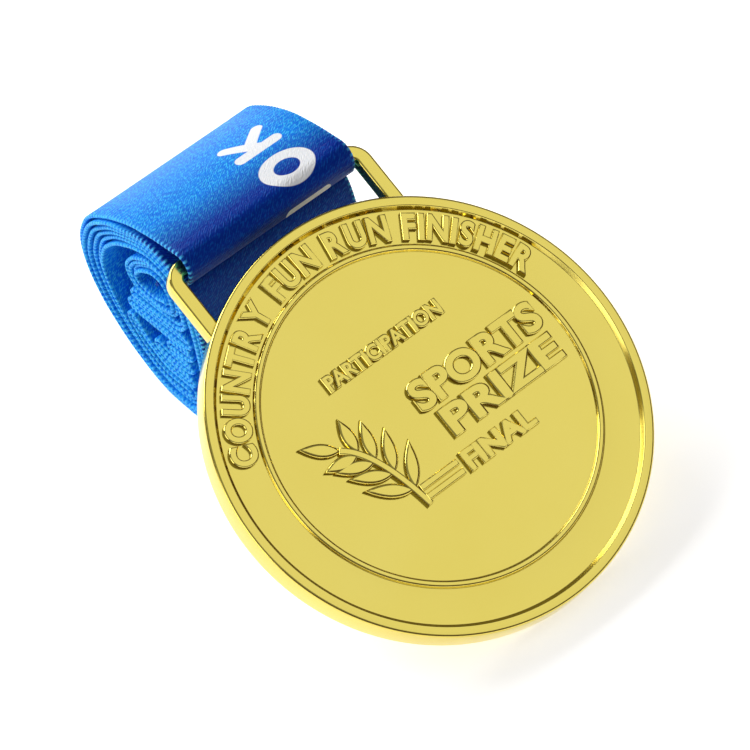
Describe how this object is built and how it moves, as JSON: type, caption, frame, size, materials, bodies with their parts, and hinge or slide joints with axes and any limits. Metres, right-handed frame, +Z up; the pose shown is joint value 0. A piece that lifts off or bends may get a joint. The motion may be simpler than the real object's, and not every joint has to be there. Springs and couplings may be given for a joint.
{
  "type": "finisher medal",
  "caption": "Gold die-cast sports finisher medal with a wide ribbon loop, lying face up on its own rolled-up blue satin neck ribbon.",
  "frame": {"origin": "on the table, under the middle of the whole object as it lies", "axes": "+X along the ribbon loop's bar, +Y from the disc's lower edge towards the rolled ribbon, +Z up"},
  "size_m": [0.07, 0.0948, 0.0381],
  "materials": {
    "gold_plate": "polished gold plating on a zinc die casting, satin in the recessed fields",
    "blue_satin": "satin-woven polyester with a printed face, fine diagonal weave",
    "blue_thread": "matt polyester sewing thread"
  },
  "bodies": {
    "ribbon": {"ribbon": "blue_satin", "seam_thread": "blue_thread"},
    "medal": {"medal_casting": "gold_plate"}
  },
  "joints": [
    {"name": "medal_swing", "type": "hinge", "parent": "ribbon", "child": "medal", "pos_m": [0, 0.0208, 0.03554], "axis": [-1, 0, 0], "range_deg": [0, 135]}
  ]
}
